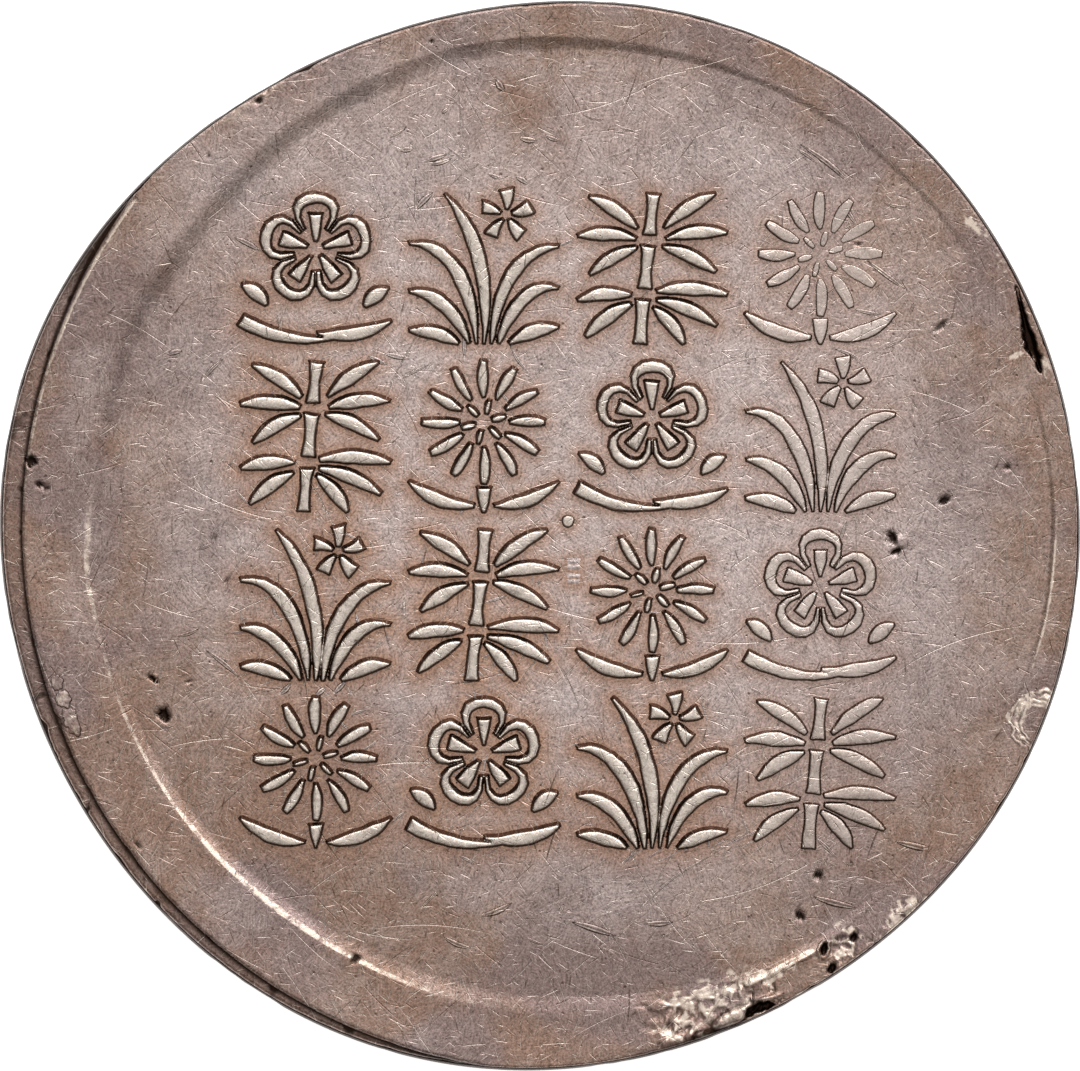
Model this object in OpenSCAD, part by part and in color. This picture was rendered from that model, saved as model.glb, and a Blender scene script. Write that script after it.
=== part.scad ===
// Struck round silver cake: hand-cut disc, off-centre rim and sixteen plant motifs in relief.
// Lies on its back with the struck face up, millimetres, origin under the middle of the disc.

/* [Flan] */
// Mean diameter of the disc
flan_d = 40; // [36:0.5:48]
// Thickness of the disc between its two fields
flan_t = 2.65; // [1.8:0.05:5]
// How far the worn edge is set back at each face
edge_setback = 0.15; // [0.05:0.01:0.3]
// Height of the worn bevel at each face
edge_bevel = 0.5; // [0.2:0.05:0.8]
// Two-lobed swell of the hand-cut outline
oval = 0.2; // [0:0.01:0.4]
// Direction of the two-lobed swell
oval_turn = 29; // [0:1:180]
// Three-lobed swell of the outline
trefoil = 0.125; // [0:0.005:0.3]
// Direction of the three-lobed swell
trefoil_turn = 46; // [0:1:120]
// Four-lobed swell of the outline
quatrefoil = 0.14; // [0:0.01:0.3]
// Direction of the four-lobed swell
quatrefoil_turn = 70; // [0:1:90]

/* [Strike] */
// Shift of the upper die to the right of the disc
strike_x = 0.95; // [0.7:0.05:1.4]
// Shift of the upper die towards the top of the disc
strike_y = 0.45; // [0:0.05:1]
// How much larger in radius the die is than the disc
die_overhang = 0.3; // [0.1:0.05:0.4]
// Width of the rim between the field and the edge of the die
rim_w = 2.4; // [1.8:0.1:4]
// Height of the rim above the field
rim_h = 0.35; // [0.2:0.05:0.8]
// Width of the slope from the rim down to the field
rim_slope = 0.5; // [0.1:0.05:0.9]
// Height above the field of the ledge left outside the die
ledge_h = 0.18; // [0.08:0.02:0.6]

/* [Reverse] */
// Width of the rim on the back
reverse_rim_w = 2; // [1.5:0.1:4]
// Height of the rim on the back
reverse_rim_h = 0.3; // [0.15:0.05:0.8]
// Width of the slope from the back rim to its field
reverse_rim_slope = 0.4; // [0.1:0.05:0.7]

/* [Relief] */
// Space kept between the corner motifs and the rim
block_margin = 0.2; // [0.1:0.1:2]
// Space between neighbouring motifs
motif_gap = 0.2; // [0.1:0.05:1.5]
// Height of the motifs above the field
relief_h = 0.3; // [0.1:0.05:0.7]
// Width of a leaf or petal at its fullest
stroke_bold = 0.5; // [0.4:0.02:0.8]
// Width of a line stroke
stroke_line = 0.38; // [0.25:0.01:0.6]
// Width of a stroke at its pointed end
stroke_tip = 0.1; // [0.06:0.02:0.2]
// Diameter of the raised compass mark between the middle motifs
mark_d = 0.32; // [0.2:0.02:0.5]
// Height of the compass mark and the ticks below it
mark_h = 0.12; // [0.04:0.02:0.3]
// Length of a tick
tick_l = 0.42; // [0.2:0.02:0.5]
// Width of a tick
tick_w = 0.1; // [0.06:0.01:0.15]
// Drop from the compass mark to the upper pair of ticks
tick_drop = 1.5; // [1:0.1:2.5]
// Step from the upper pair of ticks to the lower pair
tick_step = 0.55; // [0.4:0.05:1]

/* [Hidden] */
$fn = 128;
outline_points = 144;
stroke_steps = 10;
grid_n = 4;
motif_kinds = ["plum", "orchid", "bamboo", "chrysanthemum"];
row_shift = [0, 2, 1, 3];
toned = [0.60, 0.54, 0.51];
dusky = [0.50, 0.44, 0.41];
rubbed = [0.80, 0.77, 0.74];
flan_r = flan_d / 2;
die_r = flan_r + die_overhang;
field_r = die_r - rim_w;
reverse_field_r = flan_r - reverse_rim_w;
field_z = reverse_rim_h + flan_t;
strike = [strike_x, strike_y];
pitch = sqrt(2) * (field_r - block_margin) / grid_n;
motif_size = pitch - motif_gap;
reach = (motif_size - stroke_bold) / 2;
tick_pair = 2 * tick_w;

function motif_kind(row, col) = motif_kinds[(col + row_shift[row]) % grid_n];
function motif_name(row, col) = str(motif_kind(row, col), "_", row + 1, "_", col + 1);

// Hand-cut outline: a circle with two, three and four lobes
function outline_r(a, inset) =
    flan_r - inset
    + oval * cos(2 * (a - oval_turn))
    + trefoil * cos(3 * (a - trefoil_turn))
    + quatrefoil * cos(4 * (a - quatrefoil_turn));

module outline(inset) {
    polygon([
        for (i = [0 : outline_points - 1])
            let (a = i * 360 / outline_points)
            outline_r(a, inset) * [cos(a), sin(a)]
    ]);
}

module outline_layer(z, h, inset) {
    translate([0, 0, z])
        linear_extrude(h) outline(inset);
}

// Disc with a worn bevel above and below its full outline
module flan() {
    skin = 0.01;
    color(toned)
        hull() {
            outline_layer(reverse_rim_h, skin, edge_setback);
            outline_layer(reverse_rim_h + edge_bevel, flan_t - 2 * edge_bevel, 0);
            outline_layer(field_z - skin, skin, edge_setback);
        }
}

// Rim struck by the upper die, cut off where the die runs past the disc
module obverse_rim() {
    color(toned)
        difference() {
            translate([0, 0, field_z])
                linear_extrude(rim_h)
                    intersection() {
                        outline(edge_setback);
                        translate(strike) circle(die_r);
                    }
            translate([strike_x, strike_y, field_z - rim_h])
                cylinder(h = 3 * rim_h, r1 = field_r - rim_slope, r2 = field_r + 2 * rim_slope);
        }
}

// Crescent of the disc that the upper die missed
module edge_ledge() {
    color(dusky)
        translate([0, 0, field_z])
            linear_extrude(ledge_h)
                difference() {
                    outline(edge_setback);
                    translate(strike) circle(die_r);
                }
}

// Rim on the back, level all round, that the cake lies on
module reverse_rim() {
    color(toned)
        difference() {
            outline_layer(0, reverse_rim_h, edge_setback);
            translate([0, 0, -reverse_rim_h])
                cylinder(
                    h = 3 * reverse_rim_h,
                    r1 = reverse_field_r + 2 * reverse_rim_slope,
                    r2 = reverse_field_r - reverse_rim_slope
                );
        }
}

// Stroke cut with a graver: four curve points, and widths at its start, middle and end
function stroke(a, b, c, d, w) = [[a, b, c, d] * reach, w];

function blade(a, d, bow, w) =
    let (v = d - a, n = bow * [-v[1], v[0]])
    stroke(a, a + v / 3 + n, a + 2 * v / 3 + n, d, w);

function curve_at(p, t) =
    let (u = 1 - t)
    u * u * u * p[0] + 3 * u * u * t * p[1] + 3 * u * t * t * p[2] + t * t * t * p[3];

function curve_normal(p, t) =
    let (u = 1 - t)
    let (d = u * u * (p[1] - p[0]) + 2 * u * t * (p[2] - p[1]) + t * t * (p[3] - p[2]))
    [-d[1], d[0]] / norm(d);

function half_width(w, t) =
    let (u = 1 - t, pull = 2 * w[1] - (w[0] + w[2]) / 2)
    (u * u * w[0] + 2 * u * t * pull + t * t * w[2]) / 2;

function stroke_side(s, side) = [
    for (i = [0 : stroke_steps])
        let (t = (side > 0 ? i : stroke_steps - i) / stroke_steps)
        curve_at(s[0], t) + side * half_width(s[1], t) * curve_normal(s[0], t)
];

module draw_strokes(strokes) {
    for (s = strokes)
        polygon(concat(stroke_side(s, 1), stroke_side(s, -1)));
}

function polar(r, a) = r * [cos(a), sin(a)];

leaf = [stroke_tip, stroke_bold, stroke_tip];
line = [stroke_tip, stroke_line, stroke_tip];
cut = [stroke_bold, stroke_line, stroke_tip];
joint = [stroke_bold, stroke_line, stroke_bold];

// Five open petals with stamens above a twig with buds
module plum() {
    heart = [0, 0.26];
    petals = [
        for (a = [90 : 72 : 378])
            stroke(
                heart + polar(0.30, a - 30), heart + polar(1.02, a - 35),
                heart + polar(1.02, a + 35), heart + polar(0.30, a + 30), line
            )
    ];
    stamens = [
        for (a = [90 : 72 : 378])
            blade(heart + polar(0.48, a), heart + polar(0.12, a), 0, cut)
    ];
    twig = [
        blade([-1, -0.68], [0.30, -0.92], -0.12, cut),
        blade([0.02, -0.86], [1, -0.70], -0.12, leaf),
        blade([-0.98, -0.22], [-0.66, -0.48], 0.1, leaf),
        blade([0.98, -0.26], [0.66, -0.50], -0.1, leaf)
    ];
    draw_strokes(concat(petals, stamens, twig));
}

// Arching leaves from one root with a flower above them
module orchid() {
    heart = [0.30, 0.72];
    leaves = [
        stroke([-0.10, -1], [-0.14, -0.30], [-0.45, 0.40], [-1, 0.34], leaf),
        stroke([0, -1], [0.08, -0.30], [-0.05, 0.50], [-0.52, 1], leaf),
        stroke([0.10, -1], [0.16, -0.25], [0.50, 0.30], [1, 0.30], leaf),
        stroke([0.20, -1], [0.34, -0.50], [0.65, -0.16], [1, -0.26], leaf),
        stroke([-0.20, -1], [-0.34, -0.60], [-0.65, -0.28], [-1, -0.30], leaf),
        blade([0.34, -1], [1, -0.78], 0.1, leaf),
        blade([-0.34, -1], [-1, -0.82], -0.1, leaf)
    ];
    flower = [
        for (a = [90 : 72 : 378])
            blade(heart + polar(0.34, a), heart + polar(0.08, a), 0.08, cut)
    ];
    draw_strokes(concat(leaves, flower));
}

// Jointed stem with pointed leaves on both sides
module bamboo() {
    stem = [
        blade([-0.16, -1], [-0.12, -0.42], 0, joint),
        blade([-0.10, -0.26], [-0.05, 0.30], 0, joint),
        blade([-0.03, 0.46], [0.02, 1], 0, joint)
    ];
    leaves = [
        blade([0.16, 0.54], [0.84, 1], 0.08, leaf),
        blade([0.18, 0.40], [1, 0.48], 0.08, leaf),
        blade([0.14, 0.30], [0.84, -0.04], 0.08, leaf),
        blade([-0.20, 0.54], [-0.84, 0.96], -0.08, leaf),
        blade([-0.22, 0.40], [-1, 0.44], -0.08, leaf),
        blade([-0.22, 0.28], [-0.84, -0.08], -0.08, leaf),
        blade([0.06, -0.30], [1, -0.34], 0.08, leaf),
        blade([0.06, -0.42], [0.86, -0.76], 0.08, leaf),
        blade([0.02, -0.52], [0.42, -1], 0.08, leaf),
        blade([-0.28, -0.34], [-1, -0.42], -0.08, leaf),
        blade([-0.30, -0.48], [-0.88, -0.90], -0.08, leaf)
    ];
    draw_strokes(concat(stem, leaves));
}

// Ring of narrow petals round a button, over a stalk with two leaves
module chrysanthemum() {
    heart = [0, 0.20];
    petal = [stroke_tip, stroke_line, stroke_line / 2];
    petals = [
        for (a = [0 : 30 : 330])
            blade(heart + polar(0.34, a), heart + polar(0.82, a), 0.05, petal)
    ];
    eye = [
        for (a = [15 : 60 : 315])
            blade(heart + polar(0.12, a), heart + polar(0.30, a), 0, [stroke_tip, stroke_line / 2, stroke_tip])
    ];
    leaves = [
        blade([0, -0.68], [0, -1], 0, cut),
        blade([-0.14, -0.92], [-1, -0.60], 0.12, leaf),
        blade([0.14, -0.92], [1, -0.60], -0.12, leaf)
    ];
    draw_strokes(concat(petals, eye, leaves));
}

module motif_shape(kind) {
    if (kind == "plum") plum();
    if (kind == "orchid") orchid();
    if (kind == "bamboo") bamboo();
    if (kind == "chrysanthemum") chrysanthemum();
}

module motif(row, col) {
    middle = (grid_n - 1) / 2;
    color(rubbed)
        translate([strike_x + (col - middle) * pitch, strike_y + (middle - row) * pitch, field_z])
            linear_extrude(relief_h) motif_shape(motif_kind(row, col));
}

// Point left by the compass that set out the die
module compass_mark() {
    color(rubbed)
        translate([strike_x, strike_y, field_z])
            cylinder(h = mark_h, d = mark_d);
}

// Two pairs of layout lines below the compass mark
module layout_ticks() {
    color(rubbed)
        translate([strike_x + tick_l / 2, strike_y - tick_drop, field_z])
            linear_extrude(mark_h)
                for (y = [0, -tick_pair, -tick_step, -tick_step - tick_pair])
                    translate([0, y]) square([tick_l, tick_w], center = true);
}

flan();
obverse_rim();
edge_ledge();
reverse_rim();
compass_mark();
layout_ticks();
for (row = [0 : grid_n - 1], col = [0 : grid_n - 1])
    motif(row, col);
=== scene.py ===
import math

import bpy
import numpy as np
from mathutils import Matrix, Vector


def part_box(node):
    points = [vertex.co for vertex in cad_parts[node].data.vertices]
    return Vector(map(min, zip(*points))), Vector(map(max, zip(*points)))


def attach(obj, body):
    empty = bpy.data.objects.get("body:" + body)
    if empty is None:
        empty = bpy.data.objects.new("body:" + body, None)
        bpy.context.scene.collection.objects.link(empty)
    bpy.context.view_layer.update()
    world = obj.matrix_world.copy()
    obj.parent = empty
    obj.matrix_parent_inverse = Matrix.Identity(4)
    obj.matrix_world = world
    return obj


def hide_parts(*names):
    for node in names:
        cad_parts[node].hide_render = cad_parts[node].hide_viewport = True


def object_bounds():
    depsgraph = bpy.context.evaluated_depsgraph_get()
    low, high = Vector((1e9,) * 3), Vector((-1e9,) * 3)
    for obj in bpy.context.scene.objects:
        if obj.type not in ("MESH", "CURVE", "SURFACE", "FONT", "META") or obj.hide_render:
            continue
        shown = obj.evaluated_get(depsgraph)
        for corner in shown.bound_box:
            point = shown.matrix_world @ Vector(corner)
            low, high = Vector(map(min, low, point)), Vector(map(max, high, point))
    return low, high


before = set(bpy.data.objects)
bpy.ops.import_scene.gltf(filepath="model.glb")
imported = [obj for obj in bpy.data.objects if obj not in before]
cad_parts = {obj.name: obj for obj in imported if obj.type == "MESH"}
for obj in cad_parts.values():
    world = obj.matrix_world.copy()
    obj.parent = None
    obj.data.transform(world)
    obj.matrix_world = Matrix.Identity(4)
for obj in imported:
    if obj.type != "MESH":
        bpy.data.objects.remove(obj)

# Looks of a round struck silver cake. Shapes are worked out in millimetres, then scaled to metres.

cad_low, cad_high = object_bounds()
MM = 0.001


def top_of(node):
    """Height of a solid's top in millimetres."""
    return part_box(node)[1].z / MM


# Levels and plan sizes in millimetres
FIELD_Z = top_of("flan")
RIM_Z = top_of("obverse_rim")
LEDGE_Z = top_of("edge_ledge")
BACK_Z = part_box("flan")[0].z / MM
OUTLINE_R = 20.0
OUTLINE_LOBES = ((2, 0.20, 29), (3, 0.125, 46), (4, 0.14, 70))
EDGE_SETBACK = 0.15
STRIKE_X, STRIKE_Y = 0.95, 0.45
FIELD_R = 17.93
DIE_R = 20.33
DIE_DROP = 0.17
BACK_FIELD_R = 18.0
# How far the foot of the rim's slope dips under the field
FOOT_SINK = 0.008
# Points across the fields, and cross-sections round the rims, the ledge and the edge
FIELD_POINTS = 306
BACK_POINTS = 210
RIM_SECTIONS = 1740
LEDGE_SECTIONS = 900
EDGE_SECTIONS = 1560
BACK_RIM_SECTIONS = 1000
# Relief: reach of the brown halo round it, share of its height in the flanks, step of its grid
HALO_REACH = 1.5
FLANK_SHARE = 0.78
GRID_STEP = 0.032

# Damage: x, y, half length, half width, turn in degrees, depth or strength
FIELD_PITS = (
    (-14.10, -6.74, 0.28, 0.14, 110, 0.20),
    (-14.45, -5.45, 0.20, 0.08, 140, 0.14),
    (-13.15, -5.52, 0.20, 0.06, 20, 0.06),
    (12.98, -0.10, 0.24, 0.11, 115, 0.18),
    (13.16, -0.70, 0.20, 0.10, 20, 0.16),
    (13.42, -0.28, 0.22, 0.19, 0, -0.06),
    (14.92, 1.21, 0.19, 0.11, 40, 0.12),
    (17.31, 2.47, 0.10, 0.09, 0, 0.08),
    (10.23, -12.73, 0.15, 0.13, 20, 0.12),
    (9.56, -14.22, 0.17, 0.12, 120, 0.12),
    (-12.20, -0.15, 0.24, 0.06, 80, 0.06),
    (-11.75, -1.75, 0.18, 0.06, 60, 0.06),
    (14.85, 7.75, 0.45, 0.09, 40, 0.07),
    (11.75, 10.76, 0.09, 0.08, 0, 0.08),
)
RIM_PITS = (
    (-19.00, 2.66, 0.20, 0.17, 10, 0.20),
    (-18.70, 1.80, 0.12, 0.10, 0, 0.14),
    (-18.45, 1.68, 0.10, 0.09, 0, 0.10),
    (10.45, -15.45, 0.22, 0.13, 70, 0.20),
    (10.82, -16.12, 0.20, 0.13, 50, 0.20),
    (11.57, -15.00, 0.22, 0.11, 60, 0.16),
    (8.05, -17.66, 0.50, 0.16, 25, 0.24),
    (-4.12, 18.30, 0.10, 0.08, 0, 0.14),
    (-10.53, 16.12, 0.16, 0.11, 40, 0.10),
    (-12.40, 14.04, 0.12, 0.08, 50, 0.08),
    (-12.00, 13.06, 0.07, 0.06, 0, 0.06),
    (-6.92, -15.80, 0.20, 0.14, 60, 0.10),
    (-15.03, -11.60, 0.20, 0.07, 130, 0.10),
    (-16.95, -10.30, 0.16, 0.10, 60, 0.08),
    (-14.30, -13.80, 0.24, 0.10, 130, 0.10),
)
CRACK = ((17.64, 9.15), (17.98, 7.77), (18.17, 7.02), (18.54, 6.05))
RUBS = (
    (13.45, -14.12, 0.85, 0.52, 45, 1.5),
    (14.66, -13.29, 0.40, 0.20, 48, 0.7),
    (5.00, -18.50, 0.80, 0.40, 25, 1.2),
    (6.20, -17.45, 1.90, 0.70, 22, 1.0),
    (9.10, -16.20, 1.40, 0.24, 27, 0.6),
    (11.25, -15.25, 0.75, 0.48, 50, 1.4),
    (17.60, 6.62, 0.40, 0.12, 25, 0.9),
    (17.00, 10.00, 0.40, 0.16, 118, 0.9),
    (18.72, 6.10, 0.60, 0.20, 100, 0.9),
    (16.10, 11.50, 0.70, 0.26, 130, 1.0),
)
LUMPS = (
    (6.20, -17.50, 1.90, 0.95, 20, 1.0),
    (11.10, -15.55, 0.75, 0.50, 40, 0.7),
    (13.50, -14.07, 0.80, 0.40, 45, 0.4),
)
# Rolled-over lips, thin ridges and flakes at the rim: the same numbers, with the height they rise
ROLLS = (
    (7.10, -17.94, 0.95, 0.27, 28, 0.19),
    (5.98, -18.62, 0.34, 0.16, 15, 0.10),
)
LIPS = (
    (8.30, -17.27, 0.60, 0.08, 14, 0.11),
    (9.15, -16.05, 1.45, 0.10, 26, 0.06),
    (13.45, -14.00, 0.60, 0.14, 40, 0.07),
)
FLAKES = (
    (-18.06, -5.54, 0.26, 0.20, 100, 0.030),
    (-17.82, -6.19, 0.30, 0.25, 110, 0.035),
    (-17.52, -6.97, 0.48, 0.28, 112, 0.040),
)
# Slipped blow at the right edge: middle and reach of its ridges
SCAR_X, SCAR_Y, SCAR_R = 18.55, -7.08, 1.38
# Stains and patches of painted light and shade, dark or pale: the same numbers, with the change of toning
STAINS_AND_PAINTED_LIGHT = (
    (-0.70, 15.80, 1.40, 1.60, 0, 0.55),
    (15.00, 6.20, 1.80, 1.40, 60, 0.30),
    (8.50, 13.70, 3.20, 1.20, -25, -0.35),
    (2.70, -13.60, 2.60, 1.10, 10, -0.25),
    (14.50, -1.90, 1.80, 1.40, 80, -0.25),
    (-5.40, -14.80, 2.00, 1.20, -22, 0.50),
    (-13.30, 12.30, 3.00, 1.20, 48, -0.20),
    (2.00, -18.30, 5.00, 0.90, 0, 0.10),
    (1.00, -16.90, 4.50, 0.80, 4, 0.65),
    (19.30, 1.00, 5.00, 0.80, 90, -0.12),
    (-11.50, -10.00, 2.50, 2.00, -40, 0.20),
    (-11.50, 9.80, 2.20, 1.80, 45, 0.15),
    (1.00, 18.80, 4.50, 0.90, 0, 0.25),
    (-17.00, 2.00, 6.00, 0.60, 90, -0.25),
    (-17.30, 5.30, 1.50, 0.80, 75, -0.45),
    (-17.60, -3.10, 1.80, 0.80, 100, -0.25),
    (-11.20, -14.00, 1.60, 0.80, -40, -0.30),
    (-0.70, -18.40, 1.60, 0.70, 0, 0.25),
)
# Inner slope of the rim: angle in degrees, foot radius, crest radius, rise, bend (over 0 steep at the crest)
RIM_SLOPES = (
    (0, 17.90, 18.14, 0.070, 0.3),
    (12, 17.85, 18.08, 0.040, 0.0),
    (17, 17.80, 18.10, 0.010, 0.0),
    (31, 17.80, 18.10, 0.010, 0.0),
    (38, 17.82, 18.08, 0.050, 0.5),
    (52, 17.75, 18.00, 0.050, 0.3),
    (68, 17.68, 18.02, 0.075, 0.2),
    (84, 17.55, 18.00, 0.120, 0.3),
    (95, 17.45, 18.10, 0.180, 0.8),
    (105, 17.40, 18.12, 0.150, 0.8),
    (115, 17.25, 18.12, 0.240, 0.3),
    (125, 17.22, 18.12, 0.250, 0.3),
    (135, 16.95, 18.10, 0.280, 0.0),
    (145, 17.05, 18.15, 0.290, -0.2),
    (155, 17.20, 18.15, 0.230, 0.0),
    (165, 17.10, 17.98, 0.200, 0.0),
    (175, 17.15, 18.00, 0.140, -0.4),
    (187, 17.45, 18.20, 0.130, 0.3),
    (195, 17.55, 18.06, 0.170, 0.3),
    (202, 17.58, 18.10, 0.220, 0.8),
    (209, 17.60, 18.10, 0.210, 0.8),
    (216, 17.60, 18.12, 0.190, 0.8),
    (223, 17.55, 18.16, 0.190, 0.5),
    (230, 17.50, 18.20, 0.200, 0.3),
    (237, 17.50, 18.22, 0.210, 0.4),
    (244, 17.50, 18.22, 0.180, 0.9),
    (251, 17.50, 18.30, 0.185, 0.9),
    (258, 17.55, 18.38, 0.160, 0.3),
    (265, 17.60, 18.45, 0.140, 0.0),
    (272, 17.70, 18.58, 0.140, -1.0),
    (279, 17.72, 18.52, 0.150, -0.5),
    (286, 17.75, 18.58, 0.210, 0.0),
    (293, 17.88, 18.62, 0.185, 0.0),
    (300, 17.98, 18.52, 0.160, 0.0),
    (308, 17.88, 18.20, 0.070, 0.0),
    (324, 17.80, 18.08, 0.050, 0.0),
    (336, 17.80, 18.10, 0.060, 0.0),
    (348, 17.92, 18.14, 0.070, 0.5),
)
# Worn stretches of the outer edge: angle and half width in degrees, strength
WORN_EDGES = ((128, 9, 1.0), (112, 6, 0.7), (84, 4, 0.5), (298, 8, 0.4), (24, 7, 0.6), (200, 9, 0.5))
# Scratches: x and y of both ends, half width
SCRATCHES = (
    (-2.30, -14.22, -1.14, -13.74, 0.063),
    (-3.67, -15.01, -2.67, -15.42, 0.056),
    (1.10, -14.45, 2.74, -14.97, 0.070),
    (3.85, -14.52, 4.86, -14.45, 0.063),
    (-1.74, 16.90, -1.42, 16.47, 0.070),
    (-5.34, 14.27, -4.80, 14.32, 0.056),
    (-4.40, 13.82, -3.56, 14.10, 0.056),
    (-4.23, 13.71, -3.37, 13.95, 0.049),
    (-3.63, 16.30, -3.24, 16.11, 0.042),
    (-3.78, 15.62, -3.50, 15.83, 0.042),
    (-0.85, 14.72, -0.20, 14.63, 0.063),
    (0.10, 14.81, 0.65, 14.61, 0.049),
    (-1.00, 13.26, -0.52, 13.00, 0.056),
    (-2.04, 13.39, -1.46, 13.20, 0.042),
    (-3.67, 14.48, -2.77, 13.84, 0.021),
    (10.08, -13.51, 11.68, -13.92, 0.070),
    (13.13, -11.46, 14.70, -11.84, 0.070),
    (14.29, -12.43, 15.33, -12.51, 0.049),
    (10.15, -11.32, 10.90, -12.02, 0.042),
    (12.24, -12.66, 12.87, -13.33, 0.042),
    (6.80, -11.65, 10.38, -10.09, 0.028),
    (3.67, -13.92, 6.28, -11.99, 0.028),
    (9.59, 14.48, 11.49, 12.99, 0.056),
    (9.48, 14.29, 10.23, 13.77, 0.042),
    (11.08, 12.35, 11.68, 11.49, 0.049),
    (12.69, 12.31, 13.58, 12.17, 0.042),
    (12.09, 10.15, 13.47, 9.11, 0.049),
    (11.64, 8.33, 12.61, 8.14, 0.042),
    (10.86, 6.87, 11.87, 6.43, 0.042),
    (-15.19, -5.46, -14.60, -5.31, 0.028),
    (-13.63, -3.82, -12.77, -3.53, 0.042),
    (-12.51, -4.35, -11.28, -5.35, 0.049),
    (-9.79, -5.99, -9.38, -5.58, 0.056),
    (-8.45, -6.06, -8.07, -5.72, 0.056),
    (-7.77, -5.95, -7.33, -5.50, 0.056),
    (-11.46, 11.01, -10.53, 10.53, 0.056),
    (-4.72, 12.05, -4.08, 12.69, 0.063),
    (-6.54, 10.82, -6.28, 11.05, 0.049),
    (-6.47, 6.61, -5.80, 6.28, 0.049),
    (-5.87, 6.69, -4.94, 6.50, 0.056),
    (-5.35, 5.72, -4.23, 6.28, 0.035),
    (-4.72, 13.17, -4.72, 11.76, 0.035),
    (-2.93, 7.51, -2.89, 6.50, 0.042),
    (-1.22, 7.02, -0.47, 5.94, 0.035),
    (-13.96, 6.65, -13.40, 6.80, 0.056),
    (-12.66, 5.68, -11.87, 6.50, 0.042),
    (-0.54, 17.64, -0.54, 12.99, 0.028),
    (-2.74, 17.83, -2.45, 13.99, 0.028),
)


def lattice_noise(x, y, pitch, seed):
    """Smooth noise from -1 to 1: random values on a square lattice, eased from corner to corner."""
    u = x / pitch + 37.7 * seed
    v = y / pitch - 19.3 * seed
    i, j = np.floor(u), np.floor(v)
    fu, fv = u - i, v - j
    fu, fv = fu * fu * (3 - 2 * fu), fv * fv * (3 - 2 * fv)

    def corner(a, b):
        return 2 * np.modf(np.abs(np.sin(a * 127.1 + b * 311.7 + seed * 74.7)) * 43758.5453)[0] - 1

    low = corner(i, j) * (1 - fu) + corner(i + 1, j) * fu
    high = corner(i, j + 1) * (1 - fu) + corner(i + 1, j + 1) * fu
    return low * (1 - fv) + high * fv


def layered_noise(x, y, pitch, seed, layers=3):
    """Sum of noise layers, each with half the pitch and half the weight of the one before."""
    return sum(lattice_noise(x, y, pitch / 2**n, seed + n) / 2**n for n in range(layers))


def ease(value, low, high):
    """Smooth step from 0 at low to 1 at high."""
    t = np.clip((value - low) / (high - low), 0, 1)
    return t * t * (3 - 2 * t)


def mark_reach(x, y, mark):
    """Distance from the middle of an elliptical mark, 1 on its outline."""
    cx, cy, length, width, turn, _ = mark
    c, s = math.cos(math.radians(turn)), math.sin(math.radians(turn))
    return np.hypot((c * (x - cx) + s * (y - cy)) / length, (c * (y - cy) - s * (x - cx)) / width)


def marks(x, y, table, ragged=0.4, power=4):
    """Sum of elliptical marks with ragged outlines; a higher power makes crisper edges."""
    wobble = np.maximum(1 + ragged * layered_noise(x, y, pitch=0.3, seed=5, layers=2), 0.65)
    return sum(mark[-1] * np.exp(-((mark_reach(x, y, mark) * wobble) ** power)) for mark in table)


def gather(x, y, table, pull=0.72, reach=0.35):
    """Draws grid points in towards each mark, so that its edge gets a finer mesh."""
    for cx, cy, length, *_ in table:
        dx, dy = x - cx, y - cy
        share = pull * np.exp(-(dx * dx + dy * dy) / (length + reach) ** 2)
        x, y = x - share * dx, y - share * dy
    return x, y


def crack_depth(x, y):
    """Depth mask of the crack at the right edge, from its distance to a bent line."""
    near = np.full_like(x, 9.0)
    for (ax, ay), (bx, by) in zip(CRACK, CRACK[1:]):
        ex, ey = bx - ax, by - ay
        t = np.clip(((x - ax) * ex + (y - ay) * ey) / (ex * ex + ey * ey), 0, 1)
        near = np.minimum(near, np.hypot(x - ax - t * ex, y - ay - t * ey))
    width = 0.05 + 0.15 * np.exp(-((y - 7.1) / 0.7) ** 2)
    return np.exp(-((near / width * (1 + 0.3 * layered_noise(x, y, pitch=0.25, seed=8, layers=2))) ** 4))


def surface_drop(x, y):
    """Millimetres by which pits and the crack sink the struck face, less what the lips of pits raise it."""
    pits = FIELD_PITS + RIM_PITS
    lips = sum(mark[-1] * np.exp(-(((mark_reach(x, y, mark) - 1.5) / 0.35) ** 2)) for mark in pits)
    return marks(x, y, pits, ragged=0.75) + 0.35 * crack_depth(x, y) - 0.22 * lips


def pit_soil(drop):
    """Dirt in a pit, from none at its lip to full well down its side."""
    return ease(drop, 0.03, 0.09)


def edge_wear(angle):
    """Strength of wear round the outer edge, from a few worn stretches."""
    away = [(np.degrees(angle) - turn + 180) % 360 - 180 for turn, _, _ in WORN_EDGES]
    return sum(s * np.exp(-((a / half) ** 2)) for a, (_, half, s) in zip(away, WORN_EDGES))


def shoulder_drop(outer, r, size):
    """Drop of a quarter-round shoulder of that size below the level inside it."""
    lack = np.clip(size - (outer - r), 0, size)
    return size - np.sqrt(size**2 - lack**2)


def outline_r(angle):
    """Radius of the hand-cut outline about the origin: a circle with two, three and four lobes."""
    return OUTLINE_R + sum(h * np.cos(k * (angle - math.radians(turn))) for k, h, turn in OUTLINE_LOBES)


def outline_from_strike(angle, inset):
    """Distance from the strike centre to the outline, read off the outline's own points."""
    a = np.linspace(-math.pi, math.pi, 7201)
    r = outline_r(a) - inset
    dx, dy = r * np.cos(a) - STRIKE_X, r * np.sin(a) - STRIKE_Y
    turn = np.unwrap(np.arctan2(dy, dx))
    return np.interp(angle, turn, np.hypot(dx, dy), period=2 * math.pi)


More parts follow.
